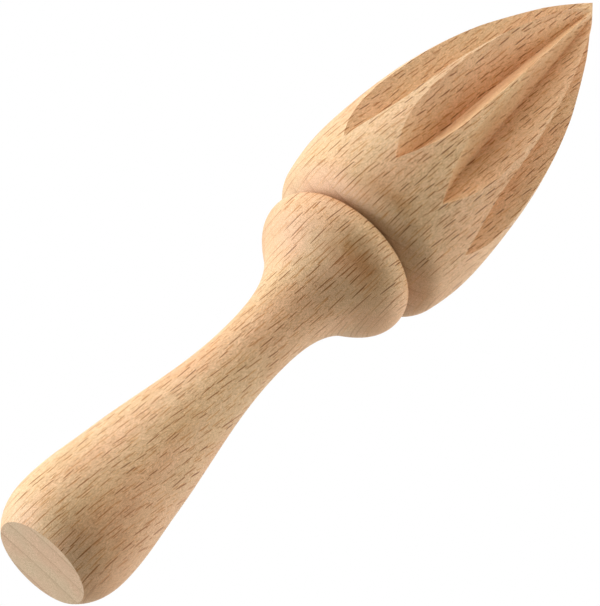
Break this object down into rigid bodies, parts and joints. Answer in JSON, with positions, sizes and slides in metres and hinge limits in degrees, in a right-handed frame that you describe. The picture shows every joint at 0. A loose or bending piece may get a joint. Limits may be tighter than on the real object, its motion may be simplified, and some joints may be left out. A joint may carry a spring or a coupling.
{
  "type": "citrus reamer",
  "caption": "Handheld wooden citrus reamer: pointed head with V-shaped flutes, grooved collar and waisted round handle, turned from one piece of beech.",
  "frame": {"origin": "centre of the flat round end of the handle, on which the reamer stands", "axes": "+Z along the turning axis from the handle's flat end to the pointed tip; +X along the middle of one flute; -Y is the side seen in the picture"},
  "size_m": [0.0398, 0.0398, 0.17],
  "materials": {
    "wood": "fine turned, untreated beech"
  },
  "bodies": {
    "root": {"handle": "wood", "head": "wood"}
  },
  "joints": []
}
